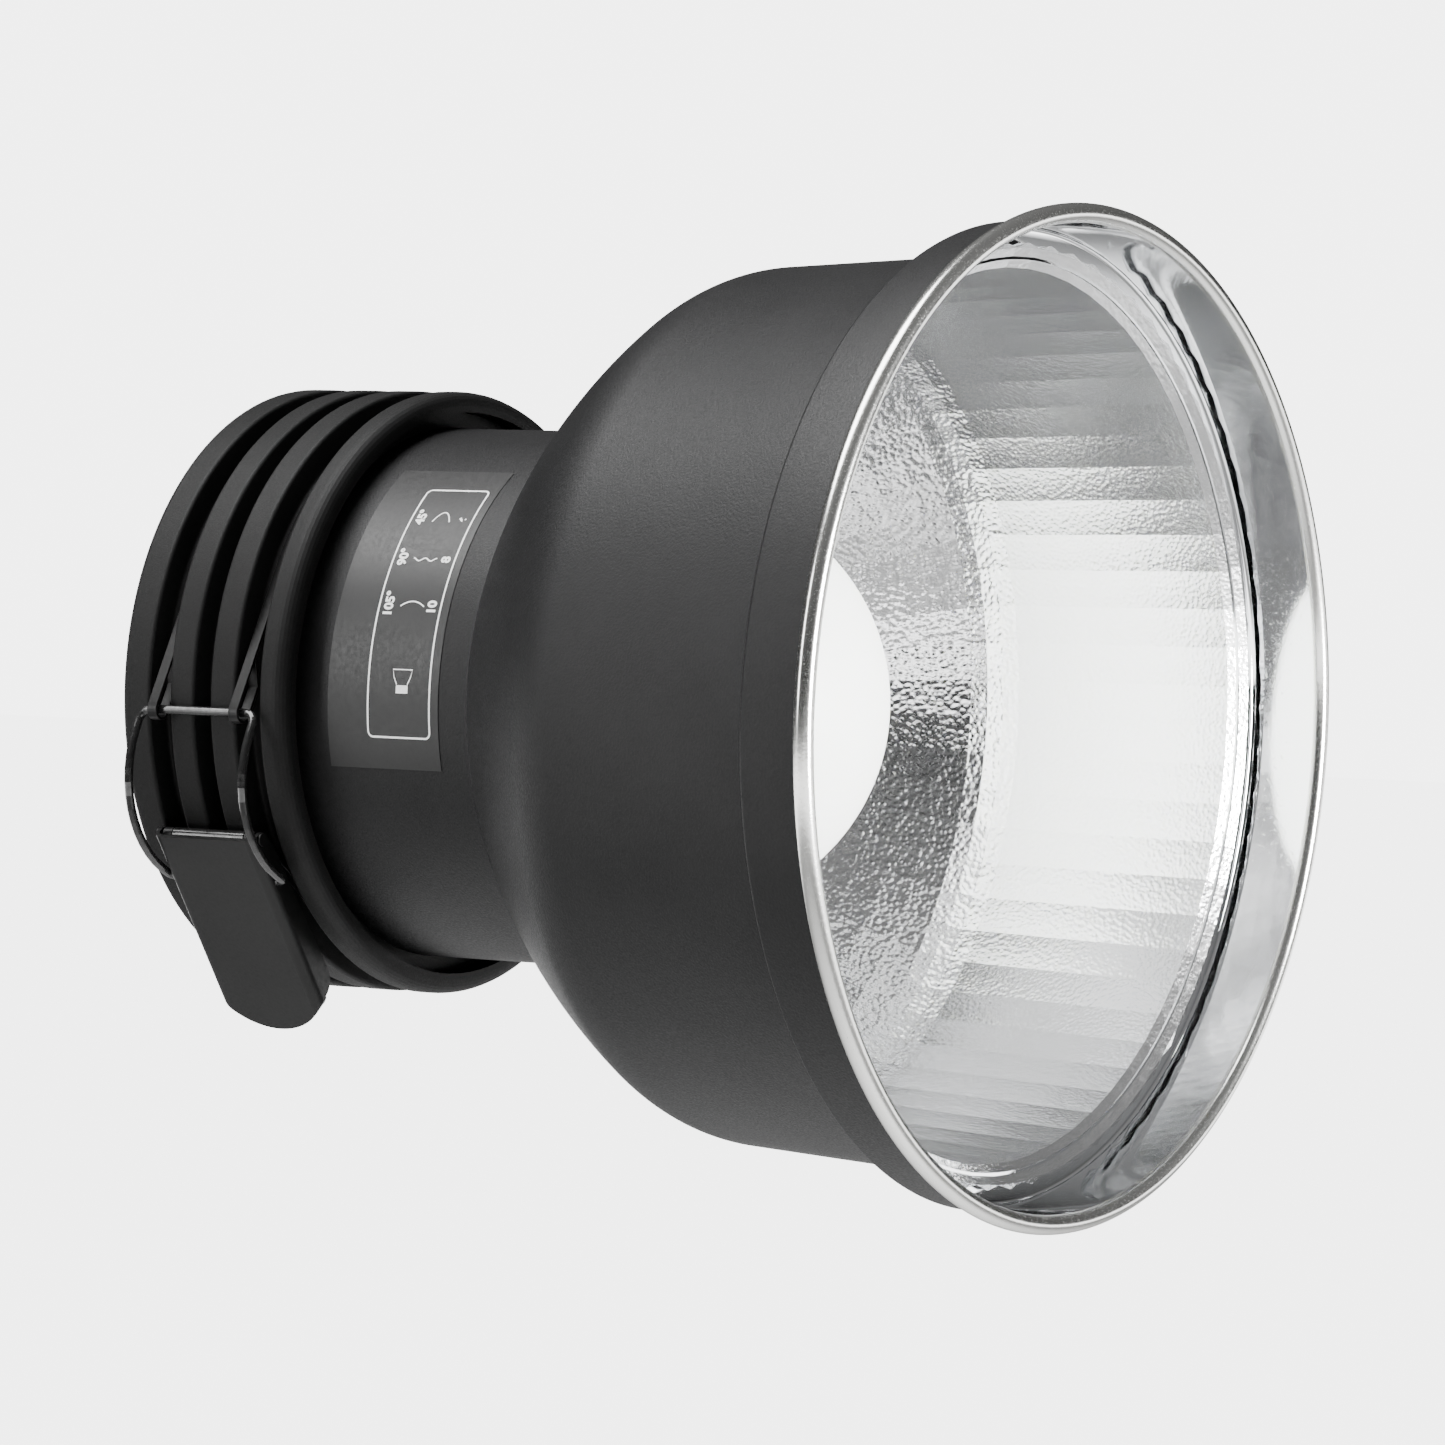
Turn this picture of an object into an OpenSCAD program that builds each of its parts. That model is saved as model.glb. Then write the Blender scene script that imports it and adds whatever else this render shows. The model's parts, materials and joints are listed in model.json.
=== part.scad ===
// Studio flash reflector with a rubber clamp collar and an over-centre strap latch.
// Millimetres, +Z up. The optical axis is Y: the mouth faces -Y and the flash head leaves along +Y.
// The origin is on the axis, halfway along the collar's clamp bore.

/* [Reflector] */
// Outer diameter over the rolled rim
rim_d = 210; // [206:0.5:214]
// Radius of the rolled rim's section
bead_r = 2.05; // [1.8:0.05:2.2]
// Outer radius of the straight band behind the rim
band_r = 101.3; // [100.9:0.1:101.6]
// Depth of the band, from the rim's centre to the seat
band_depth = 16.1; // [14:0.1:18]
// Outer radius of the body just behind the seat
body_front_r = 94.7; // [94:0.1:96]
// Outer radius of the body where its shoulder begins
body_rear_r = 92; // [91:0.1:93]
// Distance from the rim to the shoulder
shoulder_s = 67.6; // [66:0.1:69]
// Radius of the shoulder
shoulder_r = 23.4; // [20:0.1:26]
// Angle at which the shoulder turns into the rear dome
shoulder_angle = 33.25; // [31:0.25:35]
// Radius of the rear dome's outline
dome_outline_r = 126.4; // [120:0.1:132]
// Thickness of the spun sheet
sheet = 1.2; // [1:0.1:1.4]
// Thickness of the faceted liner
liner_t = 0.8; // [0.6:0.1:1]
// Gap between the sheet and the liner
liner_gap = 0.3; // [0.2:0.05:0.4]

/* [Neck] */
// Outer radius of the neck tube
neck_r = 57; // [56.5:0.1:57.5]
// Wall of the neck tube
neck_wall = 1.4; // [1.2:0.1:1.5]
// Length of the spigot that the neck tube slides onto
spigot_len = 7; // [5:0.5:9]
// Distance from the rim to the neck tube's rear flange
neck_end_s = 169; // [168:0.5:170]
// First and last angle of the scale label, up from the latch side
label_span = [-11.4, 59.7]; // [-90:0.1:90]
// Distance from the rim to the label's two edges
label_s = [119.2, 147.5]; // [114:0.1:150]

/* [Glass dome] */
// Outer radius of the frosted dome
glass_r = 44.9; // [42:0.1:46]
// Distance from the rim to the dome's centre
glass_centre_s = 97.9; // [95:0.1:100]
// Wall of the dome
glass_wall = 2.5; // [2:0.1:3]

/* [Rubber collar] */
// Radius over the ribs
collar_r = 65; // [64:0.1:66]
// Radius of the groove floors
groove_r = 59; // [58.5:0.1:59.3]
// Radius of the bore that grips the flash head
bore_r = 50; // [50:0.1:50.5]
// Distance from the rim to the collar's front and rear faces
collar_s = [153.2, 196]; // [150:0.1:200]
// Grooves between the ribs, as distances from the rim
grooves = [[159.6, 165.8], [172.5, 176.7], [183.1, 188.4]]; // [150:0.1:200]
// Rounding of the rib corners
rib_round = 0.8; // [0.4:0.1:1]

/* [Latch] */
// Distance from the rim to the middle of the latch
latch_s = 174.2; // [173.8:0.1:174.4]
// Angle of the closed lever's normal below the horizontal
latch_tilt = 31.5; // [30:0.5:33]
// Distance from the collar's axis to the lever's outer face
lever_face = 70.4; // [70:0.1:71]
// Width of the lever
lever_w = 26.6; // [26.4:0.1:26.8]
// Thickness of the lever's sheet
lever_t = 0.9; // [0.8:0.05:1]
// Lever ends along its own length, from the foot of its normal
lever_span = [-11.4, 38.9]; // [-12:0.1:40]
// Depth of the side flanges at the hinge and near the tip
flange_depth = [5.4, 6.8]; // [5:0.1:7]
// Hinge pin, along the lever and out from the collar's axis
hinge_at = [-9.9, 67.4]; // [-70:0.1:70]
// Bail pivot, along the lever and out from the collar's axis
pivot_at = [0.6, 67.9]; // [-70:0.1:70]
// Radius of the hinge pin
pin_r = 0.9; // [0.8:0.05:0.95]
// Radius of the bail's wire
wire_r = 0.93; // [0.85:0.01:1]
// Distance from the collar's axis to the bail's cross rod
rod_at = 66.5; // [66.3:0.1:66.8]
// Radius of the bow in the bail's arms
bail_bow = 22.7; // [22:0.1:25]
// Distance of each arm from the latch's middle
arm_y = 15; // [14.9:0.1:15.4]
// Bends of the wire at the rod and at the pivot
rod_bend = 2.6; // [2.2:0.1:2.8]
hook_bend = 1.2; // [1.1:0.1:1.4]
// Straight wire at each end of the bow
arm_straight = 2; // [1:0.1:3]
// Centre, width and thickness of the two straps
strap_y = 10.7; // [10.5:0.1:10.8]
strap_w = 2.4; // [2.2:0.1:2.5]
strap_t = 0.6; // [0.5:0.05:0.7]
// Radius of a strap's middle where it lies in its groove
strap_r = 59.4; // [59.4:0.1:60]
// Half the inside height of the loop at a strap's end
loop_half = 1.75; // [1.65:0.05:1.8]
// Full and parallel lengths of the loop
loop_len = [11.5, 7]; // [6:0.1:13]

/* [Hidden] */

round_fn = 120;
small_fn = 48;
bore_centre_s = 185;
bore_half = 10;
slip = 0.05;
eps = 0.01;
black = [0.07, 0.07, 0.075];
satin_black = [0.1, 0.1, 0.1];
bright = [0.82, 0.83, 0.84];

// Points along an arc
function arc(c, r, from, to, n = 8) =
    [for (i = [0:n]) c + r * [cos(from + (to - from) * i / n), sin(from + (to - from) * i / n)]];

// Outline of the bowl as [radius, distance from the rim], a given depth below its outer surface
body_angle = atan((body_front_r - body_rear_r) / (shoulder_s - band_depth));
shoulder_c = [body_rear_r, shoulder_s] - shoulder_r * [cos(body_angle), sin(body_angle)];
dome_start = shoulder_c + shoulder_r * [cos(shoulder_angle), sin(shoulder_angle)];
dome_c = dome_start - dome_outline_r * [cos(shoulder_angle), sin(shoulder_angle)];
dome_end_angle = acos((neck_r - dome_c[0]) / dome_outline_r);
crease_s = dome_c[1] + dome_outline_r * sin(dome_end_angle);
function bowl_line(depth, front_s, end_angle) = concat(
    [[body_front_r - depth / cos(body_angle), front_s]],
    arc(shoulder_c, shoulder_r - depth, body_angle, shoulder_angle, 10),
    arc(dome_c, dome_outline_r - depth, shoulder_angle, end_angle, 10));
function reversed(list) = [for (i = [len(list) - 1:-1:0]) list[i]];

// Turns a [radius, distance from the rim] profile round the optical axis
module spun(angle = 360) {
    translate([0, -bore_centre_s, 0])
        rotate([-90, 0, 0])
            rotate_extrude(angle = angle, $fn = round_fn)
                children();
}

// Extrudes a drawing of the [X, Z] plane across the latch, centred y from the latch's middle
module across(y, w) {
    translate([0, latch_s - bore_centre_s + y + w / 2, 0])
        rotate([90, 0, 0])
            linear_extrude(w)
                children();
}

// A cylinder along Y through an [X, Z] point, between two distances from the latch's middle
module cross_pin(at, r, y0, y1) {
    translate([at[0], latch_s - bore_centre_s + y0, at[1]])
        rotate([-90, 0, 0])
            cylinder(r = r, h = y1 - y0, $fn = small_fn);
}

// ---- Reflector ----

seat_s = band_depth - sheet;
corner = 1;
module bowl_shell() {
    outer = concat(
        [[band_r, 0]],
        arc([band_r - corner, band_depth - corner], corner, 0, 90, 4),
        [[body_front_r, band_depth]],
        bowl_line(0, band_depth, dome_end_angle));
    spigot_r = neck_r - neck_wall - slip;
    spigot = [[spigot_r, crease_s], [spigot_r, crease_s + spigot_len],
              [spigot_r - sheet, crease_s + spigot_len], [spigot_r - sheet, crease_s]];
    inner = concat(
        reversed(bowl_line(sheet, seat_s, dome_end_angle - 1)),
        [[band_r - sheet - corner, seat_s]],
        reversed(arc([band_r - sheet - corner, seat_s - corner], corner, 0, 90, 4)),
        [[band_r - sheet, 0]]);
    color(black)
        spun() {
            polygon(concat(outer, spigot, inner));
            difference() {
                translate([rim_d / 2 - bead_r, 0]) circle(bead_r, $fn = small_fn);
                translate([rim_d / 2 - bead_r, 0]) circle(bead_r - sheet + slip, $fn = small_fn);
            }
        }
}

module rim_wire() {
    color(bright)
        spun()
            translate([rim_d / 2 - bead_r, 0])
                circle(bead_r - sheet, $fn = small_fn);
}

liner_end_angle = dome_end_angle - 2;
lip_r = 97.2;
lip_gap = 0.1;
module facet_liner() {
    outside = sheet + liner_gap;
    color(bright)
        spun()
            polygon(concat(
                [[lip_r, seat_s - lip_gap - liner_t], [lip_r, seat_s - lip_gap]],
                bowl_line(outside, seat_s - lip_gap, liner_end_angle),
                reversed(bowl_line(outside + liner_t, seat_s - lip_gap - liner_t, liner_end_angle))));
}

// ---- Neck ----

flange_r = neck_r + 4;
module neck_tube() {
    color(black)
        spun()
            polygon([
                [neck_r - neck_wall, crease_s + slip], [neck_r, crease_s + slip],
                [neck_r, neck_end_s - neck_wall], [flange_r, neck_end_s - neck_wall],
                [flange_r, neck_end_s], [neck_r - neck_wall, neck_end_s]]);
}

label_t = 0.15;
module scale_label() {
    color(satin_black)
        rotate([0, 180 - label_span[1], 0])
            mirror([0, 0, 1])
                spun(angle = label_span[1] - label_span[0])
                    translate([neck_r + eps, label_s[0]])
                        square([label_t, label_s[1] - label_s[0]]);
}

// ---- Glass dome and its ring ----

skirt_end_s = 107.5;
module glass_dome() {
    inside = glass_r - glass_wall;
    color([0.93, 0.96, 0.92])
        spun()
            polygon(concat(
                arc([0, glass_centre_s], glass_r, -90, 0, 24),
                [[glass_r, skirt_end_s], [inside, skirt_end_s]],
                arc([0, glass_centre_s], inside, 0, -90, 24)));
}

module dome_ring() {
    outer_r = neck_r - neck_wall - sheet - 2 * slip;
    wall = 1.4;
    lip = 2;
    color(satin_black)
        spun()
            polygon([
                [glass_r + slip, skirt_end_s - 3], [outer_r, skirt_end_s - 3],
                [outer_r, crease_s + spigot_len - 1], [outer_r - wall, crease_s + spigot_len - 1],
                [outer_r - wall, skirt_end_s + lip], [glass_r - glass_wall, skirt_end_s + lip],
                [glass_r - glass_wall, skirt_end_s + slip], [glass_r + slip, skirt_end_s + slip]]);
}

// ---- Rubber collar ----

// The outline over one groove, with rounded rib corners and a rounded floor
function groove_line(g) = concat(
    arc([collar_r - rib_round, g[0] - rib_round], rib_round, 0, 90, 4),
    arc([groove_r + rib_round, g[0] + rib_round], rib_round, 270, 180, 4),
    arc([groove_r + rib_round, g[1] - rib_round], rib_round, 180, 90, 4),
    arc([collar_r - rib_round, g[1] + rib_round], rib_round, -90, 0, 4));

front_round = 3;
rear_round = 1.6;
recess_depth = 4.5;
recess_r = 60.6;
chamfer = 1;
module rubber_collar() {
    f = collar_s[0];
    rear = collar_s[1];
    outside = concat(
        arc([collar_r - front_round, f + front_round], front_round, -90, 0, 6),
        [for (g = grooves) each groove_line(g)],
        arc([collar_r - rear_round, rear - rear_round], rear_round, 0, 90, 5));
    inside = [
        [bore_r + chamfer, rear], [bore_r, rear - chamfer],
        [bore_r, bore_centre_s - bore_half], [bore_r + 3, bore_centre_s - bore_half - 3],
        [bore_r + 3, neck_end_s + eps], [flange_r + eps, neck_end_s + eps],
        [flange_r + eps, neck_end_s - neck_wall - eps], [neck_r + eps, neck_end_s - neck_wall - eps],
        [neck_r + eps, f + recess_depth], [recess_r, f + recess_depth],
        [recess_r, f]];
    color(black)
        spun()
            polygon(concat(outside, inside));
}

// ---- Latch geometry in the [X, Z] plane ----

// A point given along the closed lever and out from the collar's axis
out_dir = [-cos(latch_tilt), -sin(latch_tilt)];
along_dir = [sin(latch_tilt), -cos(latch_tilt)];
function latch_point(p) = p[0] * along_dir + p[1] * out_dir;
hinge = latch_point(hinge_at);
pivot = latch_point(pivot_at);
rod = [-rod_at, 0];

// The strap tail leaves its groove on a tangent and passes outside the rod
tail_offset = loop_half + strap_t / 2;
tail_angle = acos((strap_r - tail_offset) / rod_at);
tail_len = rod_at * sin(tail_angle);
tail_gap = 0.15;

// Towards the hinge pin the strap leaves on a tangent too, and passes inside the pin
knuckle_r = pin_r + slip + strap_t / 2;
hinge_polar = atan2(-hinge[1], -hinge[0]);
root_angle = hinge_polar + acos((strap_r + knuckle_r) / norm(hinge));

// A ring of the strap's thickness, drawn round a point
module strap_ring(r, fn) {
    difference() {
        circle(r + strap_t / 2, $fn = fn);
        circle(r - strap_t / 2, $fn = fn);
    }
}

// A strap's path as [point, outward normal]: round the collar in its groove, straight to the hinge pin,
// then most of a turn round the pin
function unit(a) = [cos(a), sin(a)];
groove_turn = 360 - tail_angle - root_angle;
groove_steps = 96;
curl_turn = 300;
curl_steps = 20;
strap_path = concat(
    [for (i = [0:groove_steps])
        let (a = 180 - tail_angle - groove_turn * i / groove_steps)
        [strap_r * unit(a), unit(a)]],
    [for (i = [0:curl_steps])
        let (a = root_angle + curl_turn * i / curl_steps)
        [hinge + knuckle_r * unit(a), -unit(a)]]);

module strap_band(y) {
    color(satin_black)
        across(y, strap_w)
            polygon(concat(
                [for (p = strap_path) p[0] + strap_t / 2 * p[1]],
                [for (p = reversed(strap_path)) p[0] - strap_t / 2 * p[1]]));
}
module strap_rear() { strap_band(strap_y); }
module strap_front() { strap_band(-strap_y); }

// One strap tail: from the groove to the loop that holds the bail's rod
module strap_tail(y) {
    // Local X runs along the tail towards the loop, local Y away from the collar, origin on the rod
    color(satin_black)
        across(y, strap_w)
            translate(rod)
                rotate(180 - tail_angle)
                    rotate(90) {
                        translate([-tail_len + tail_gap, -tail_offset - strap_t / 2])
                            square([tail_len - tail_gap, strap_t]);
                        intersection() {
                            strap_ring(tail_offset, small_fn);
                            translate([-eps, -2 * tail_offset]) square([2 * tail_offset, 4 * tail_offset]);
                        }
                        translate([-loop_len[1], tail_offset - strap_t / 2])
                            square([loop_len[1], strap_t]);
                        polygon([
                            [-loop_len[1], tail_offset - strap_t / 2], [-loop_len[1], tail_offset + strap_t / 2],
                            [-loop_len[0], strap_t / 2 - tail_offset], [-loop_len[0] + 1, strap_t / 2 - tail_offset]]);
                    }
}
module strap_tail_rear() { strap_tail(strap_y); }
module strap_tail_front() { strap_tail(-strap_y); }

head_r = 1.4;
head_t = 0.4;
module hinge_pin() {
    half = lever_w / 2 + slip;
    color(satin_black) {
        cross_pin(hinge, pin_r, -half, half);
        cross_pin(hinge, head_r, half, half + head_t);
        cross_pin(hinge, head_r, -half - head_t, -half);
    }
}

module pin_sleeve() {
    half = strap_y - strap_w / 2 - 0.2;
    color(satin_black)
        difference() {
            cross_pin(hinge, knuckle_r + strap_t / 2, -half, half);
            cross_pin(hinge, pin_r + slip, -half - 1, half + 1);
        }
}

// ---- Lever ----

edge_r = 2.2;
tip_r = 16.1;
// The channel's section, [across, towards the collar], with rounded long edges
module lever_section() {
    half = lever_w / 2;
    depth = flange_depth[1] + 1;
    translate([-half + edge_r, 0]) square([lever_w - 2 * edge_r, lever_t]);
    for (side = [-1, 1]) {
        scale([side, 1]) {
            translate([half - lever_t, edge_r]) square([lever_t, depth - edge_r]);
            intersection() {
                translate([half - edge_r, edge_r])
                    difference() {
                        circle(edge_r, $fn = small_fn);
                        circle(edge_r - lever_t, $fn = small_fn);
                    }
                translate([half - edge_r, 0]) square(edge_r);
            }
        }
    }
}

// The lever's side view, [along, towards the collar]
module lever_side() {
    tail = flange_depth[0] - (lever_face - hinge_at[1]);
    heel = [hinge_at[0], lever_face - hinge_at[1]];
    polygon(concat(
        [[lever_span[0], -1], [lever_span[0], heel[1]]],
        arc(heel, heel[0] - lever_span[0], 180, 100, 6),
        [[hinge_at[0] + 3, heel[1] + tail]],
        [[27, flange_depth[1]]],
        arc([27, flange_depth[1] - 4.5], 4.5, 90, 10, 6),
        [[lever_span[1] + 1, lever_t + 0.6], [lever_span[1] + 1, -1]]));
}

module lever() {
    mid = latch_s - bore_centre_s;
    color(satin_black)
        difference() {
            translate([0, mid, 0])
                rotate([0, 90 - latch_tilt, 0])
                    translate([0, 0, -lever_face])
                        intersection() {
                            translate([lever_span[0], 0, 0])
                                rotate([90, 0, 90])
                                    linear_extrude(lever_span[1] - lever_span[0])
                                        lever_section();
                            rotate([90, 0, 0])
                                translate([0, 0, -lever_w])
                                    linear_extrude(2 * lever_w)
                                        lever_side();
                            union() {
                                translate([lever_span[1] - tip_r, 0, -1])
                                    cylinder(r = tip_r, h = 10, $fn = round_fn);
                                translate([lever_span[0] - 1, -lever_w, -1])
                                    cube([lever_span[1] - tip_r - lever_span[0] + 1, 2 * lever_w, 10]);
                            }
                        }
            cross_pin(hinge, pin_r + slip, -lever_w, lever_w);
            cross_pin(pivot, wire_r + slip, -lever_w, lever_w);
        }
}

// ---- Bail ----

// Centre of the arms' bow: straight wire joins it to the bend at the rod and the bend at the pivot
rod_lead = rod_bend + arm_straight;
hook_lead = hook_bend + arm_straight;
rod_reach = norm([bail_bow, rod_lead]);
pivot_reach = norm([bail_bow, hook_lead]);
span = norm(pivot - rod);
foot = (rod_reach * rod_reach - pivot_reach * pivot_reach + span * span) / (2 * span);
span_dir = (pivot - rod) / span;
bow_c = rod + foot * span_dir
    + sqrt(rod_reach * rod_reach - foot * foot) * [-span_dir[1], span_dir[0]];
function polar_angle(v) = (atan2(v[1], v[0]) + 360) % 360;
bow_start = polar_angle(rod - bow_c) + atan(rod_lead / bail_bow);
bow_end = polar_angle(pivot - bow_c) - atan(hook_lead / bail_bow);

// Lifts an [X, Z] vector into space, with a Y
function lift(v, y) = [v[0], y, v[1]];

// A section of the wire: its centre, its normal in the [X, Z] plane and its direction
function bow_section(a, side) =
    [lift(bow_c + bail_bow * [cos(a), sin(a)], side * arm_y), lift([cos(a), sin(a)], 0),
     lift([-sin(a), cos(a)], 0)];
function rod_section(t, side) =
    let (dir = [-sin(bow_start), cos(bow_start)])
    [lift(rod + rod_bend * (1 - cos(t)) * dir, side * (arm_y - rod_bend + rod_bend * sin(t))),
     lift([cos(bow_start), sin(bow_start)], 0), lift(sin(t) * dir, side * cos(t))];
function hook_section(t, side) =
    let (dir = [-sin(bow_end), cos(bow_end)])
    [lift(pivot - hook_bend * (1 - sin(t)) * dir, side * (arm_y - hook_bend + hook_bend * cos(t))),
     lift([cos(bow_end), sin(bow_end)], 0), lift(cos(t) * dir, -side * sin(t))];

// One side of the wire, from the rod out to the end that sits in the lever's side
function wire_side(side) = concat(
    [for (t = [0:15:90]) rod_section(t, side)],
    [for (i = [0:bow_steps]) bow_section(bow_start + (bow_end - bow_start) * i / bow_steps, side)],
    [for (t = [0:18:90]) hook_section(t, side)],
    [[lift(pivot, side * (lever_w / 2 - lever_t)), lift([cos(bow_end), sin(bow_end)], 0), [0, -side, 0]]]);

bow_steps = 12;
wire_sides = 16;
module bail() {
    sections = concat(
        [for (s = reversed(wire_side(-1))) [s[0], s[1], -s[2]]],
        wire_side(1));
    last = len(sections) - 1;
    points = [for (s = sections) for (k = [0:wire_sides - 1])
        let (a = 360 * k / wire_sides)
        s[0] + [0, latch_s - bore_centre_s, 0] + wire_r * (cos(a) * s[1] + sin(a) * cross(s[1], s[2]))];
    sides = [for (i = [0:last - 1]) for (k = [0:wire_sides - 1])
        let (n = (k + 1) % wire_sides)
        [i * wire_sides + k, i * wire_sides + n, (i + 1) * wire_sides + n, (i + 1) * wire_sides + k]];
    ends = [
        [for (k = [wire_sides - 1:-1:0]) k],
        [for (k = [0:wire_sides - 1]) last * wire_sides + k]];
    color([0.05, 0.05, 0.05])
        polyhedron(points, concat(sides, ends));
}

bowl_shell();
rim_wire();
facet_liner();
neck_tube();
scale_label();
glass_dome();
dome_ring();
rubber_collar();
strap_rear();
strap_front();
strap_tail_rear();
strap_tail_front();
hinge_pin();
pin_sleeve();
lever();
bail();
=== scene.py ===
"""Looks for a studio flash reflector: powder-coated bowl, faceted liner, rubber collar and strap latch.

Metres, in the row frame: Y is the optical axis with the mouth at -Y, +Z is up, and the latch is on the -X
side. Meshes are drawn in millimetres, and distances along the axis are measured behind the rim.
"""
import json
import math
import random

import bpy
from mathutils import Matrix, Vector


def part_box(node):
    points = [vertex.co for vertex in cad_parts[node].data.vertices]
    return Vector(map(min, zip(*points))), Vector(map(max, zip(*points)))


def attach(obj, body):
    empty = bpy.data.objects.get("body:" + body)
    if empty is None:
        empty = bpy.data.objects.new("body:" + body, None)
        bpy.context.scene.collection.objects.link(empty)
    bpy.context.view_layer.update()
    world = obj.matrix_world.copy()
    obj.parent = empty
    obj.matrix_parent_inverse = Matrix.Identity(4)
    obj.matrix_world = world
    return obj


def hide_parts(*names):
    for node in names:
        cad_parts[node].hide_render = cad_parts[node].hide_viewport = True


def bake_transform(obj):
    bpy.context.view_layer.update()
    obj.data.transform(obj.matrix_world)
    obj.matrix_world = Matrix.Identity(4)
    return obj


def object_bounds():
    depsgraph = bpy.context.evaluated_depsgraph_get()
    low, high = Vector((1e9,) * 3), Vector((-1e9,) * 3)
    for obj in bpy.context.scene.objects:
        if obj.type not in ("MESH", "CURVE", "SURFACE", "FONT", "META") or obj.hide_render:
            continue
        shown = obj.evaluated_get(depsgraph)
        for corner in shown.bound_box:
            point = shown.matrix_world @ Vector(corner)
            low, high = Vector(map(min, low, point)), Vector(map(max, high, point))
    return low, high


MM = 0.001
MOUTH_Y = -185 * MM
TURN_STEPS = 272

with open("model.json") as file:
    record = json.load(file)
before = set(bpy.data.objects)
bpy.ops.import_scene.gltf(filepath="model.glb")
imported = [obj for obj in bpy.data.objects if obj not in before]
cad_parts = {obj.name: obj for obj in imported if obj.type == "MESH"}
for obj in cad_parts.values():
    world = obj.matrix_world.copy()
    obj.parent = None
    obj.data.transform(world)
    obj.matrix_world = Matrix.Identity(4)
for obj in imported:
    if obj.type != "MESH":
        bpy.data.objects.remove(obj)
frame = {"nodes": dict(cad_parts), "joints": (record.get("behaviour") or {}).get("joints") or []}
cad_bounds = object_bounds()


# ---- Sizes that the frame gives, in millimetres ----

def joint(name):
    """The frame's record of a joint."""
    return next(j for j in frame["joints"] if j["name"] == name)


def in_plane(name):
    """A joint's place in the X, Z plane."""
    x, _, z = joint(name)["pos_m"]
    return x / MM, z / MM


rim_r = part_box("bowl_shell")[1][0] / MM
strap_boxes = {name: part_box(name) for name in ("strap_rear", "strap_front")}


# ---- Shader helpers ----

def new_material(name):
    """A node material: returns it, its node tree and its shader."""
    material = bpy.data.materials.new(name)
    material.use_nodes = True
    tree = material.node_tree
    return material, tree, tree.nodes["Principled BSDF"]


def position(tree):
    """Object coordinates in millimetres."""
    coords = tree.nodes.new("ShaderNodeTexCoord")
    scale = tree.nodes.new("ShaderNodeVectorMath")
    scale.operation = "SCALE"
    scale.inputs["Scale"].default_value = 1 / MM
    tree.links.new(coords.outputs["Object"], scale.inputs[0])
    return scale.outputs[0]


def noise(tree, place, size, detail=2.0, roughness=0.5):
    """Noise whose features are about size millimetres across."""
    node = tree.nodes.new("ShaderNodeTexNoise")
    node.inputs["Scale"].default_value = 1 / size
    node.inputs["Detail"].default_value = detail
    node.inputs["Roughness"].default_value = roughness
    tree.links.new(place, node.inputs["Vector"])
    return node.outputs["Fac"]


def cells(tree, place, size, smooth=0.6):
    """Rounded cells about size millimetres across."""
    node = tree.nodes.new("ShaderNodeTexVoronoi")
    node.feature = "SMOOTH_F1"
    node.inputs["Scale"].default_value = 1 / size
    node.inputs["Smoothness"].default_value = smooth
    tree.links.new(place, node.inputs["Vector"])
    return node.outputs["Distance"]


def blend_colours(tree, factor, low, high, span=(0.3, 0.7)):
    """A colour between low and high as factor crosses span."""
    ramp = tree.nodes.new("ShaderNodeValToRGB")
    ramp.color_ramp.elements[0].position = span[0]
    ramp.color_ramp.elements[0].color = (*low, 1)
    ramp.color_ramp.elements[1].position = span[1]
    ramp.color_ramp.elements[1].color = (*high, 1)
    tree.links.new(factor, ramp.inputs["Fac"])
    return ramp.outputs["Color"]


def remap(tree, factor, low, high, span=(0.3, 0.7)):
    """A number between low and high as factor crosses span."""
    node = tree.nodes.new("ShaderNodeMapRange")
    node.inputs["From Min"].default_value = span[0]
    node.inputs["From Max"].default_value = span[1]
    node.inputs["To Min"].default_value = low
    node.inputs["To Max"].default_value = high
    tree.links.new(factor, node.inputs["Value"])
    return node.outputs["Result"]


def add_bump(tree, shader, layers):
    """Bumps from (height, strength, depth in millimetres) layers, one over another."""
    normal = None
    for height, strength, depth in layers:
        node = tree.nodes.new("ShaderNodeBump")
        node.inputs["Strength"].default_value = strength
        node.inputs["Distance"].default_value = depth * MM
        tree.links.new(height, node.inputs["Height"])
        if normal:
            tree.links.new(normal, node.inputs["Normal"])
        normal = node.outputs["Normal"]
    tree.links.new(normal, shader.inputs["Normal"])


# ---- Materials ----

def coated(name, dark, light, rough, grain, depth, specular=0.5):
    """Black paint, coating or rubber: grained, with slight changes of tone and gloss."""
    material, tree, shader = new_material(name)
    place = position(tree)
    fine = noise(tree, place, grain, detail=3.0)
    broad = noise(tree, place, 22.0)
    tree.links.new(blend_colours(tree, broad, dark, light), shader.inputs["Base Color"])
    tree.links.new(remap(tree, fine, rough - 0.06, rough + 0.08), shader.inputs["Roughness"])
    shader.inputs["Specular IOR Level"].default_value = specular
    add_bump(tree, shader, [(broad, 0.1, 0.2), (fine, 0.6, depth)])
    return material


def polished(name, tint, rough, ripple, speck):
    """Bright metal with faint ripples from spinning and small specks."""
    material, tree, shader = new_material(name)
    place = position(tree)
    waves = noise(tree, place, ripple)
    specks = noise(tree, place, speck, detail=4.0, roughness=0.7)
    shader.inputs["Metallic"].default_value = 1.0
    dull = tuple(0.8 * c for c in tint)
    tree.links.new(blend_colours(tree, specks, tint, dull, (0.62, 0.74)), shader.inputs["Base Color"])
    tree.links.new(remap(tree, specks, rough, rough + 0.18, (0.55, 0.75)), shader.inputs["Roughness"])
    add_bump(tree, shader, [(waves, 0.1, 0.2), (specks, 0.1, 0.03)])
    return material


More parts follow.
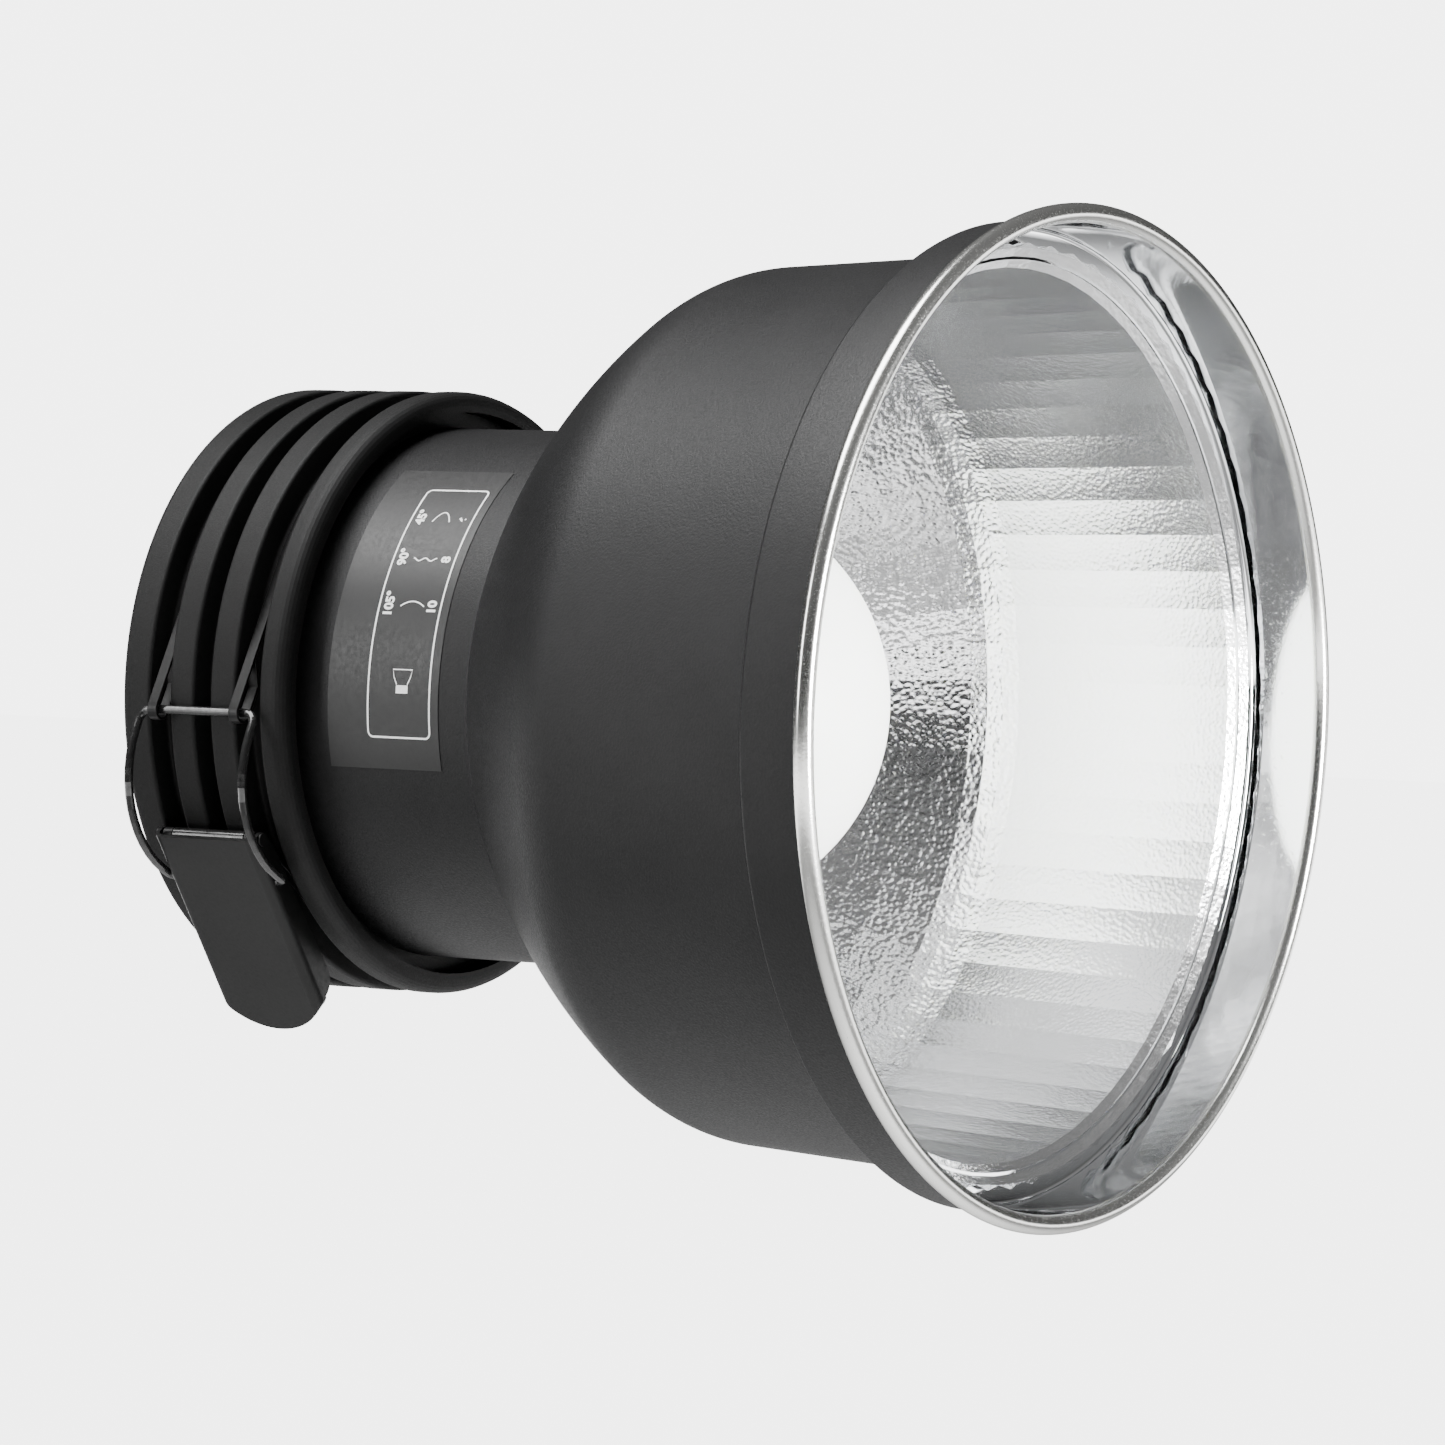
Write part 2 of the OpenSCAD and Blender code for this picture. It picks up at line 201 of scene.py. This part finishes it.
def hammered(name, size, depth, rough):
    """Bright anodised aluminium, hammered all over."""
    material, tree, shader = new_material(name)
    place = position(tree)
    dents = cells(tree, place, size)
    grain = noise(tree, place, size * 0.35, detail=4.0, roughness=0.65)
    shader.inputs["Metallic"].default_value = 1.0
    tree.links.new(
        blend_colours(tree, grain, (0.78, 0.79, 0.80), (0.95, 0.95, 0.95)), shader.inputs["Base Color"])
    tree.links.new(remap(tree, grain, rough - 0.05, rough + 0.08), shader.inputs["Roughness"])
    add_bump(tree, shader, [(dents, 0.9, depth), (grain, 0.5, depth * 0.35)])
    return material


def frosted(name):
    """Frosted white glass with a faint green tint, and a painted glow from emission that stands in for the
    light it catches inside the bowl.
    """
    material, tree, shader = new_material(name)
    place = position(tree)
    grain = noise(tree, place, 0.5, detail=3.0)
    cloud = noise(tree, place, 14.0)
    tree.links.new(
        blend_colours(tree, cloud, (0.90, 0.93, 0.88), (0.96, 0.98, 0.94)), shader.inputs["Base Color"])
    tree.links.new(remap(tree, grain, 0.38, 0.5), shader.inputs["Roughness"])
    shader.inputs["Subsurface Weight"].default_value = 0.6
    shader.inputs["Subsurface Radius"].default_value = (0.004, 0.004, 0.0035)
    # Painted glow: the emission makes the dome shine as if lit inside the bowl, though it holds no lamp.
    shader.inputs["Emission Color"].default_value = (0.95, 1.0, 0.93, 1)
    shader.inputs["Emission Strength"].default_value = 1.2
    add_bump(tree, shader, [(grain, 0.3, 0.04)])
    return material


def ink(name):
    """White print, slightly uneven."""
    material, tree, shader = new_material(name)
    wear = noise(tree, position(tree), 0.6, detail=4.0)
    tree.links.new(
        blend_colours(tree, wear, (0.80, 0.80, 0.79), (0.88, 0.88, 0.87)), shader.inputs["Base Color"])
    shader.inputs["Roughness"].default_value = 0.55
    add_bump(tree, shader, [(wear, 0.2, 0.03)])
    return material


powder = coated(
    "powder_coat", dark=(0.0035, 0.0035, 0.0038), light=(0.0065, 0.0065, 0.0068),
    rough=0.5, grain=0.5, depth=0.12, specular=0.24)
rubber = coated(
    "moulded_rubber", dark=(0.002, 0.002, 0.002), light=(0.005, 0.005, 0.005),
    rough=0.6, grain=0.35, depth=0.08, specular=0.2)
enamel = coated(
    "satin_enamel", dark=(0.002, 0.002, 0.002), light=(0.005, 0.005, 0.005),
    rough=0.36, grain=0.7, depth=0.02, specular=0.22)
gloss = coated(
    "gloss_enamel", dark=(0.008, 0.008, 0.008), light=(0.014, 0.014, 0.014),
    rough=0.18, grain=1.2, depth=0.01)
film = coated(
    "label_film", dark=(0.010, 0.010, 0.010), light=(0.014, 0.014, 0.014),
    rough=0.42, grain=0.9, depth=0.015, specular=0.35)
mirror = polished("mirror_aluminium", tint=(0.90, 0.91, 0.92), rough=0.04, ripple=30.0, speck=0.9)
bead_metal = polished("bead_aluminium", tint=(0.62, 0.62, 0.60), rough=0.2, ripple=1.2, speck=0.45)
wall_metal = hammered("hammered_wall", size=0.9, depth=0.05, rough=0.17)
back_metal = hammered("hammered_back", size=1.1, depth=0.16, rough=0.12)
# The frosted glass carries a painted glow (emission) as well as its own tint.
glass = frosted("frosted_glass")
print_ink = ink("white_print")


# ---- Mesh helpers ----

def add_piece(name, points, faces, materials, body, smooth_angle=40, face_materials=None):
    """A mesh piece, in millimetres. It rides on body unless that is None."""
    mesh = bpy.data.meshes.new(name)
    mesh.from_pydata([Vector(p) * MM for p in points], [], faces)
    for material in materials:
        mesh.materials.append(material)
    if face_materials:
        mesh.polygons.foreach_set("material_index", face_materials)
    mesh.validate()
    mesh.update()
    mesh.shade_smooth()
    mesh.set_sharp_from_angle(angle=math.radians(smooth_angle))
    piece = bpy.data.objects.new(name, mesh)
    bpy.context.scene.collection.objects.link(piece)
    if body:
        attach(piece, body)
    return piece


def on_axis(radius, angle, distance):
    """A point at a radius and angle round the axis, at a distance behind the rim, in millimetres."""
    return (radius * math.cos(angle), MOUTH_Y / MM + distance, radius * math.sin(angle))


def arc(centre, radius, start, end, steps):
    """Points along an arc in the (radius, distance) plane, angles in degrees from the radial direction."""
    angles = (math.radians(start + (end - start) * i / steps) for i in range(steps + 1))
    return [(centre[0] + radius * math.cos(a), centre[1] + radius * math.sin(a)) for a in angles]


def turned(name, outline, materials, body, closed=True, smooth_angle=40):
    """Turns an outline of (radius, distance, material of the next side) round the axis."""
    points = [
        on_axis(r, math.tau * step / TURN_STEPS, s)
        for step in range(TURN_STEPS) for r, s, _ in outline]
    count = len(outline)
    faces = []
    face_materials = []
    for step in range(TURN_STEPS):
        here = step * count
        there = (step + 1) % TURN_STEPS * count
        for i in range(count if closed else count - 1):
            j = (i + 1) % count
            faces.append((here + i, there + i, there + j, here + j))
            face_materials.append(outline[i][2])
    return add_piece(name, points, faces, materials, body, smooth_angle, face_materials)


# ---- Bowl ----

BAND_R = 101.3
BAND_DEPTH = 16.1
BAND_FRONT_S = 2.0
SHEET = 1.2
CORNER_R = 1.0
STEP_ROUND = 0.6
STEP_GAP = 0.1
BODY_FRONT_R = 94.7
BODY_REAR_R = 92.0
SHOULDER_S = 67.6
SHOULDER_R = 23.4
SHOULDER_END = 33.25
DOME_R = 126.4
NECK_R = 57.0
BEAD_R = 2.05
BEAD_CURL = (-190, 120)

slope = math.degrees(math.atan((BODY_FRONT_R - BODY_REAR_R) / (SHOULDER_S - BAND_DEPTH)))
shoulder_c = (
    BODY_REAR_R - SHOULDER_R * math.cos(math.radians(slope)),
    SHOULDER_S - SHOULDER_R * math.sin(math.radians(slope)))
dome_c = tuple(
    c + (SHOULDER_R - DOME_R) * f(math.radians(SHOULDER_END))
    for c, f in zip(shoulder_c, (math.cos, math.sin)))
dome_end = math.degrees(math.acos((NECK_R - dome_c[0]) / DOME_R))


def bowl_outline(depth, front, end):
    """The bowl's side from front to back, a depth inside its outer surface."""
    return (
        [(BODY_FRONT_R - depth, front)]
        + arc(shoulder_c, SHOULDER_R - depth, slope, SHOULDER_END, 14)
        + arc(dome_c, DOME_R - depth, SHOULDER_END, end, 16)[1:])


def build_shell():
    """The bowl with its rolled bead, as one closed wall: black outside and bright inside."""
    black, bright, bead = range(3)
    seat = BAND_DEPTH - SHEET
    curl = arc((rim_r - BEAD_R, 0), BEAD_R, *BEAD_CURL, 36)
    outside = (
        [(BAND_R, BAND_FRONT_S)]
        + arc((BAND_R - CORNER_R, BAND_DEPTH - CORNER_R), CORNER_R, 0, 90, 6)
        + [(BODY_FRONT_R + STEP_ROUND, BAND_DEPTH), (BODY_FRONT_R + STEP_GAP, BAND_DEPTH + STEP_ROUND)]
        + bowl_outline(0, BAND_DEPTH + 2 * STEP_ROUND, dome_end))
    inside = (
        bowl_outline(SHEET, seat, dome_end - 1)[::-1]
        + [(BAND_R - SHEET - CORNER_R, seat)]
        + arc((BAND_R - SHEET - CORNER_R, seat - CORNER_R), CORNER_R, 90, 0, 6))
    outline = [
        (r, s, part)
        for part, line in ((bead, curl), (black, outside), (bright, inside))
        for r, s in line]
    shell = turned("bowl", outline, [powder, mirror, bead_metal], "reflector")
    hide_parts("bowl_shell", "rim_wire")


# ---- Faceted liner ----

FACETS = 68
LINER_DEPTH = 2.3
LINER_T = 0.6
LIP_R = 96.2
LIP_GAP = 0.7
LIP_RUN = 2.6
SCALLOP = 0.7
SCALLOP_SINK = 0.1
SHOULDER_ROWS = 3
BACK_ROWS = 6
LAST_WALL_ROW = 2
UNEVEN = 0.1


def build_liner():
    """Long flat facets down the wall, short ones over the domed back, and a scalloped lip on the seat."""
    rng = random.Random(4)
    lip_s = BAND_DEPTH - SHEET - LIP_GAP
    lip = [(LIP_R, lip_s), (BODY_FRONT_R - LINER_DEPTH, lip_s + LIP_RUN)]
    side = arc(shoulder_c, SHOULDER_R - LINER_DEPTH, slope, SHOULDER_END, SHOULDER_ROWS)
    back = arc(dome_c, DOME_R - LINER_DEPTH, SHOULDER_END, dome_end - 2, BACK_ROWS)[1:]
    rows = lip + side + back
    points = []
    for row, (r, s) in enumerate(rows):
        for k in range(FACETS):
            jitter = rng.uniform(-UNEVEN, UNEVEN) if row > LAST_WALL_ROW else 0
            points.append(on_axis(r + jitter, math.tau * k / FACETS, s + jitter))
    scallop_start = len(points)
    for k in range(FACETS):
        points.append(on_axis(LIP_R + SCALLOP, math.tau * (k + 0.5) / FACETS, lip_s + SCALLOP_SINK))
    faces = []
    face_materials = []
    for row in range(len(rows) - 1):
        for k in range(FACETS):
            n = (k + 1) % FACETS
            faces.append((row * FACETS + k, (row + 1) * FACETS + k, (row + 1) * FACETS + n, row * FACETS + n))
            face_materials.append(0 if row < LAST_WALL_ROW else 1)
    for k in range(FACETS):
        faces.append((k, (k + 1) % FACETS, scallop_start + k))
        face_materials.append(0)
    liner = add_piece(
        "liner", points, faces, [wall_metal, back_metal], "reflector", 2, face_materials)
    thick = liner.modifiers.new("sheet", "SOLIDIFY")
    thick.thickness = LINER_T * MM
    thick.offset = -1
    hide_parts("facet_liner")


# ---- Label ----

# Distances behind the rim and sizes in millimetres, angles in degrees up from the latch side
LABEL_ANGLES = (-11.4, 59.7)
LABEL_S = (119.2, 147.5)
LABEL_T = 0.15
LABEL_STEPS = 60
PRINT_LIFT = 0.05
FRAME_ANGLES = (-4.6, 52.9)
FRAME_S = (121.4, 137.1)
FRAME_ROUND = 1.2
FRAME_LINE = 0.42
DIGIT_HEIGHT = 2.1
DIGIT_SPREAD = 0.06
DEGREES_S = 134.6
DEGREES = (("105°", 23.6), ("90°", 34.5), ("45°", 44.9))
STOPS_S = 123.6
STOPS = (("10", 23.0), ("8", 34.0), ("6", 44.4))
CURVE_LINE = 0.3
CURVE_STEPS = 16
# The beams' small curves: the middle and half length across the label, the angle, and the height
BOWED = (128.7, 3.0, 24.2, 1.1)
WAVED = (129.0, 3.0, 33.9, 0.35)
TIGHT = (129.3, 2.2, 46.2, 2.6)
ICON_S = 128.5
ICON_SIDE = ((2.5, 9.6), (2.1, 8.0), (1.4, 6.6), (1.4, 6.2))
ICON_LINE = 0.25
FOOT_ANGLE = 5.4
FOOT_HALF = 1.5
FOOT_LINE = 1.5


def on_neck(angle, distance, lift=0.0):
    """A point on the label, at an angle up from the latch side in degrees."""
    turn = math.radians(180 - angle)
    return on_axis(NECK_R + LABEL_T + lift, turn, distance)


def rounded_outline(low, high, radius, steps=6):
    """A rounded rectangle's points, from low to high corner."""
    corners = [
        (high[0] - radius, high[1] - radius, 0), (low[0] + radius, high[1] - radius, 90),
        (low[0] + radius, low[1] + radius, 180), (high[0] - radius, low[1] + radius, 270)]
    return [
        (x + radius * math.cos(math.radians(a + 90 * i / steps)),
         y + radius * math.sin(math.radians(a + 90 * i / steps)))
        for x, y, a in corners for i in range(steps + 1)]


def arc_mm(angle):
    """Length round the label for an angle in degrees."""
    return math.radians(angle) * (NECK_R + LABEL_T)


def to_neck(point, lift):
    """A flat point, (distance, length round the neck), wrapped on the label."""
    return on_neck(math.degrees(point[1] / (NECK_R + LABEL_T)), point[0], lift)


def stroke(points, faces, path, width, closed=False):
    """Adds a drawn line along a flat path."""
    count = len(path)
    start = len(points)
    for i, here in enumerate(path):
        before = path[(i - 1) % count] if closed or i else here
        after = path[(i + 1) % count] if closed or i < count - 1 else here
        along = (Vector(after) - Vector(before)).normalized()
        side = Vector((-along.y, along.x)) * width / 2
        points.append(to_neck(Vector(here) + side, PRINT_LIFT))
        points.append(to_neck(Vector(here) - side, PRINT_LIFT))
    for i in range(count if closed else count - 1):
        a = start + 2 * i
        b = start + 2 * ((i + 1) % count)
        faces.append((a, b, b + 1, a + 1))


def dense(path, step=1.0, closed=False):
    """The path with points no further apart than step."""
    out = []
    count = len(path)
    for i in range(count if closed else count - 1):
        a, b = Vector(path[i]), Vector(path[(i + 1) % count])
        parts = max(1, math.ceil((b - a).length / step))
        out += [tuple(a.lerp(b, k / parts)) for k in range(parts)]
    return out if closed else out + [tuple(path[-1])]


def number(points, faces, text, centre, height):
    """Adds a printed number that runs up round the neck, with its top towards the collar."""
    curve = bpy.data.curves.new("number", "FONT")
    curve.body = text
    curve.size = height / 0.7
    curve.align_x = "CENTER"
    curve.align_y = "CENTER"
    curve.offset = DIGIT_SPREAD * height
    holder = bpy.data.objects.new("number", curve)
    bpy.context.scene.collection.objects.link(holder)
    bpy.context.view_layer.update()
    mesh = bpy.data.meshes.new_from_object(holder)
    start = len(points)
    for vertex in mesh.vertices:
        x, y, _ = vertex.co
        points.append(to_neck((centre[0] + y, centre[1] + x), PRINT_LIFT))
    for polygon in mesh.polygons:
        faces.append(tuple(start + v for v in polygon.vertices))
    bpy.data.objects.remove(holder)
    bpy.data.curves.remove(curve)
    bpy.data.meshes.remove(mesh)


def beam_curve(size, shape):
    """A small curve across the label, where shape gives its height over steps from -1 to 1."""
    middle, half, angle, height = size
    steps = [2 * i / CURVE_STEPS - 1 for i in range(CURVE_STEPS + 1)]
    return [(middle + half * t, arc_mm(angle) + height * shape(t)) for t in steps]


def bow(t):
    """An arch."""
    return -t * t


def wave(t):
    """Two waves."""
    return math.cos(math.tau * t)


def build_label():
    """The dark film on the neck, and its print as a second piece."""
    low_angle, high_angle = LABEL_ANGLES
    points = []
    for i in range(LABEL_STEPS + 1):
        angle = low_angle + (high_angle - low_angle) * i / LABEL_STEPS
        points += [on_neck(angle, s) for s in LABEL_S]
    faces = [(2 * i, 2 * i + 2, 2 * i + 3, 2 * i + 1) for i in range(LABEL_STEPS)]
    label = add_piece("label", points, faces, [film], "reflector")
    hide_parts("scale_label")

    points = []
    faces = []
    low, high = ((s, arc_mm(angle)) for s, angle in zip(FRAME_S, FRAME_ANGLES))
    frame_line = dense(rounded_outline(low, high, FRAME_ROUND), closed=True)
    stroke(points, faces, frame_line, FRAME_LINE, closed=True)
    for row_s, marks in ((DEGREES_S, DEGREES), (STOPS_S, STOPS)):
        for text, angle in marks:
            number(points, faces, text, (row_s, arc_mm(angle)), DIGIT_HEIGHT)
    for size, shape in ((BOWED, bow), (WAVED, wave), (TIGHT, bow)):
        stroke(points, faces, beam_curve(size, shape), CURVE_LINE)
    left = [(ICON_S + half, arc_mm(angle)) for half, angle in ICON_SIDE]
    right = [(2 * ICON_S - s, up) for s, up in reversed(left)]
    stroke(points, faces, left + right, ICON_LINE, closed=True)
    foot = [(ICON_S + half, arc_mm(FOOT_ANGLE)) for half in (FOOT_HALF, -FOOT_HALF)]
    stroke(points, faces, foot, FOOT_LINE)
    add_piece("label_print", points, faces, [print_ink], "reflector")


# ---- Straps ----

STRAP_T = 0.6
TAIL_OFFSET = 2.0
LOOP_RETURN = 7.0
LOOP_CLOSE = 11.5
FLEX = 4.0
KNUCKLE_R = 1.25
KNUCKLE_TURN = 300
STRAP_EDGE = 0.1


def ribbon(name, path, low_y, high_y, material, body):
    """A strap of even thickness along a path in the X, Z plane."""
    points = []
    count = len(path)
    for i, here in enumerate(path):
        before = Vector(path[max(i - 1, 0)])
        after = Vector(path[min(i + 1, count - 1)])
        along = (after - before).normalized()
        side = Vector((-along.y, along.x)) * STRAP_T / 2
        for offset, y in ((side, low_y), (side, high_y), (-side, high_y), (-side, low_y)):
            x, z = Vector(here) + offset
            points.append((x, y, z))
    faces = [
        (4 * i + k, 4 * i + (k + 1) % 4, 4 * i + 4 + (k + 1) % 4, 4 * i + 4 + k)
        for i in range(count - 1) for k in range(4)]
    faces += [(3, 2, 1, 0), tuple(4 * (count - 1) + k for k in range(4))]
    piece = add_piece(name, points, faces, [material], body, 30)
    soften = piece.modifiers.new("edges", "BEVEL")
    soften.width = STRAP_EDGE * MM
    soften.segments = 2
    soften.limit_method = "ANGLE"
    soften.angle_limit = math.radians(50)
    return piece


def plane_arc(centre, radius, start, end, steps):
    """Points along a circle in the X, Z plane, angles in degrees from +X towards +Z."""
    return [
        (centre[0] + radius * math.cos(math.radians(start + (end - start) * i / steps)),
         centre[1] + radius * math.sin(math.radians(start + (end - start) * i / steps)))
        for i in range(steps + 1)]


def build_straps():
    """Each strap as two pieces: its band in the groove and round the pin, and its tail round the rod."""
    hinge = Vector(in_plane("lever_hinge"))
    bend = Vector(in_plane("strap_flex"))
    strap_r = bend.length
    tail_angle = math.degrees(math.atan2(bend.y, -bend.x))
    tail_dir = Vector((-bend.y, bend.x)).normalized()
    outward = bend.normalized()
    rod_r = (strap_r - TAIL_OFFSET) / math.cos(math.radians(tail_angle))
    tail_len = rod_r * math.sin(math.radians(tail_angle))
    rod = bend - outward * TAIL_OFFSET + tail_dir * tail_len
    loop_turn = math.degrees(math.atan2(outward.y, outward.x))
    # From the closed end of the loop, round the rod and up the tail to the groove
    meet = rod - tail_dir * LOOP_CLOSE + outward * (TAIL_OFFSET - STRAP_T)
    loop = dense([tuple(meet), tuple(rod - tail_dir * LOOP_RETURN - outward * TAIL_OFFSET)])
    loop += plane_arc(rod, TAIL_OFFSET, loop_turn + 180, loop_turn, 14)
    tail = dense([loop[-1], tuple(bend)], 1.5)[1:]
    wrap = math.degrees(FLEX / strap_r) * 2
    start = 180 - tail_angle
    first = plane_arc((0, 0), strap_r, start, start - wrap, 6)[1:]
    polar = math.degrees(math.atan2(-hinge.y, -hinge.x))
    root_angle = polar + math.degrees(math.acos((strap_r + KNUCKLE_R) / hinge.length))
    rest = plane_arc((0, 0), strap_r, start - wrap, root_angle - 180, 150)
    root_turn = math.radians(180 + root_angle)
    radial = Vector((math.cos(root_turn), math.sin(root_turn)))
    root = dense([rest[-1], tuple(hinge - radial * KNUCKLE_R)], 3)[1:]
    knuckle = plane_arc(hinge, KNUCKLE_R, root_angle, root_angle + KNUCKLE_TURN, 20)[1:]
    for side, cad in (("rear", "strap_rear"), ("front", "strap_front")):
        low, high = strap_boxes[cad]
        low_y, high_y = low[1] / MM, high[1] / MM
        tail_piece = ribbon("tail_" + side, loop + tail + first, low_y, high_y, enamel, None)
        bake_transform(tail_piece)
        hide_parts("strap_tail_" + side)
        band = ribbon("strap_band_" + side, rest + root + knuckle, low_y, high_y, enamel, "reflector")
        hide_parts(cad)


# ---- CAD nodes that keep their shape ----

def dress(node, material, smooth_angle=35):
    """Gives a CAD node its material and smooth shading."""
    piece = frame["nodes"][node]
    piece.data.materials.clear()
    piece.data.materials.append(material)
    piece.data.shade_smooth()
    piece.data.set_sharp_from_angle(angle=math.radians(smooth_angle))


def dress_nodes():
    """Dresses every node that no piece replaces."""
    dress("neck_tube", powder)
    dress("dome_ring", enamel)
    dress("rubber_collar", rubber, 30)
    dress("glass_dome", glass)
    dress("hinge_pin", enamel)
    dress("pin_sleeve", gloss)
    dress("lever", enamel, 30)
    dress("bail", gloss, 50)


# ---- Camera, floor and light ----

CAMERA_AT = (-1.20261, -0.89486, 0.11050)
CAMERA_AZIMUTH = -56.484
CAMERA_ELEVATION = 4.532
CAMERA_ROLL = -0.4295
LENS = 171.2
SENSOR = 36

# The floor, in metres, and the distances in millimetres over which its glow comes up
FLOOR_DROP = 1.1
FLOOR_HALF = 12.0
FLOOR_GLOW = 4.5
GLOW_SPAN = (3500.0, 5500.0)

# The soft lights: name, place and size in metres, and power in watts
LIGHT_TARGET = (0, -0.08, 0)
LIGHTS = (
    ("left_back", (-1.3, 0.9, 0.5), (0.3, 0.8), 12),
    ("into_bowl", (0.2, -1.6, 0.1), (0.5, 0.5), 110),
    ("top", (-0.3, 0.25, 1.3), (0.8, 1.4), 60))

# The studio's grey walls as the part sees them, brighter upwards, and the white that lies behind the part
WALLS_LOW = (0.02, 0.02, 0.02)
WALLS_HIGH = (0.3, 0.3, 0.3)
WALLS_SPAN = (0.0, 0.7)
WALLS_STRENGTH = 0.75
BACKDROP_STRENGTH = 5.0


def add_camera():
    """The camera, placed by its angles round the part and turned a little about its own axis."""
    azimuth, elevation, roll = (math.radians(a) for a in (CAMERA_AZIMUTH, CAMERA_ELEVATION, CAMERA_ROLL))
    back = Vector((
        math.sin(azimuth) * math.cos(elevation),
        -math.cos(azimuth) * math.cos(elevation),
        math.sin(elevation)))
    right = Vector((math.cos(azimuth), math.sin(azimuth), 0))
    up = back.cross(right)
    turned_right = math.cos(roll) * right + math.sin(roll) * up
    turned_up = math.cos(roll) * up - math.sin(roll) * right
    data = bpy.data.cameras.new("camera")
    data.lens = LENS
    data.sensor_width = SENSOR
    data.clip_end = 50
    camera = bpy.data.objects.new("camera", data)
    axes = (turned_right, turned_up, back)
    rows = [(*[axis[i] for axis in axes], CAMERA_AT[i]) for i in range(3)]
    camera.matrix_world = Matrix((*rows, (0, 0, 0, 1)))
    bpy.context.scene.collection.objects.link(camera)
    bpy.context.scene.camera = camera


def add_floor():
    """A pale floor well below the part, with its far part lit like a backdrop."""
    material, tree, shader = new_material("pale_floor")
    tone = noise(tree, position(tree), 900.0)
    tree.links.new(
        blend_colours(tree, tone, (0.90, 0.90, 0.90), (0.93, 0.93, 0.93)), shader.inputs["Base Color"])
    shader.inputs["Roughness"].default_value = 0.9
    distance = tree.nodes.new("ShaderNodeVectorMath")
    distance.operation = "LENGTH"
    tree.links.new(position(tree), distance.inputs[0])
    shader.inputs["Emission Color"].default_value = (1, 1, 1, 1)
    lit = remap(tree, distance.outputs["Value"], 0.0, FLOOR_GLOW, GLOW_SPAN)
    tree.links.new(lit, shader.inputs["Emission Strength"])
    low = cad_bounds[0][2] - FLOOR_DROP
    corners = [(x * FLOOR_HALF, y * FLOOR_HALF, low) for x, y in ((-1, -1), (1, -1), (1, 1), (-1, 1))]
    mesh = bpy.data.meshes.new("floor")
    mesh.from_pydata(corners, [], [(0, 1, 2, 3)])
    mesh.materials.append(material)
    floor = bpy.data.objects.new("floor", mesh)
    bpy.context.scene.collection.objects.link(floor)


def add_light(name, at, size, power):
    """A soft rectangular light that faces the part."""
    data = bpy.data.lights.new(name, "AREA")
    data.shape = "RECTANGLE"
    data.size, data.size_y = size
    data.energy = power
    light = bpy.data.objects.new(name, data)
    light.location = at
    light.rotation_euler = (Vector(LIGHT_TARGET) - Vector(at)).to_track_quat("-Z", "Y").to_euler()
    bpy.context.scene.collection.objects.link(light)


def add_world():
    """Grey studio walls light the part and show in its metal, while the view behind the part is white."""
    world = bpy.data.worlds.new("studio")
    world.use_nodes = True
    tree = world.node_tree
    for node in list(tree.nodes):
        tree.nodes.remove(node)
    coords = tree.nodes.new("ShaderNodeTexCoord")
    split = tree.nodes.new("ShaderNodeSeparateXYZ")
    tree.links.new(coords.outputs["Generated"], split.inputs[0])
    walls = tree.nodes.new("ShaderNodeBackground")
    walls.inputs["Strength"].default_value = WALLS_STRENGTH
    grey = blend_colours(tree, split.outputs["Z"], WALLS_LOW, WALLS_HIGH, WALLS_SPAN)
    tree.links.new(grey, walls.inputs["Color"])
    white = tree.nodes.new("ShaderNodeBackground")
    white.inputs["Color"].default_value = (1, 1, 1, 1)
    white.inputs["Strength"].default_value = BACKDROP_STRENGTH
    path = tree.nodes.new("ShaderNodeLightPath")
    choose = tree.nodes.new("ShaderNodeMixShader")
    tree.links.new(path.outputs["Is Camera Ray"], choose.inputs["Fac"])
    tree.links.new(walls.outputs[0], choose.inputs[1])
    tree.links.new(white.outputs[0], choose.inputs[2])
    output = tree.nodes.new("ShaderNodeOutputWorld")
    tree.links.new(choose.outputs[0], output.inputs["Surface"])
    bpy.context.scene.world = world


add_camera()
add_floor()
for name, at, size, power in LIGHTS:
    add_light(name, at, size, power)
add_world()
build_shell()
build_liner()
build_label()
build_straps()
dress_nodes()
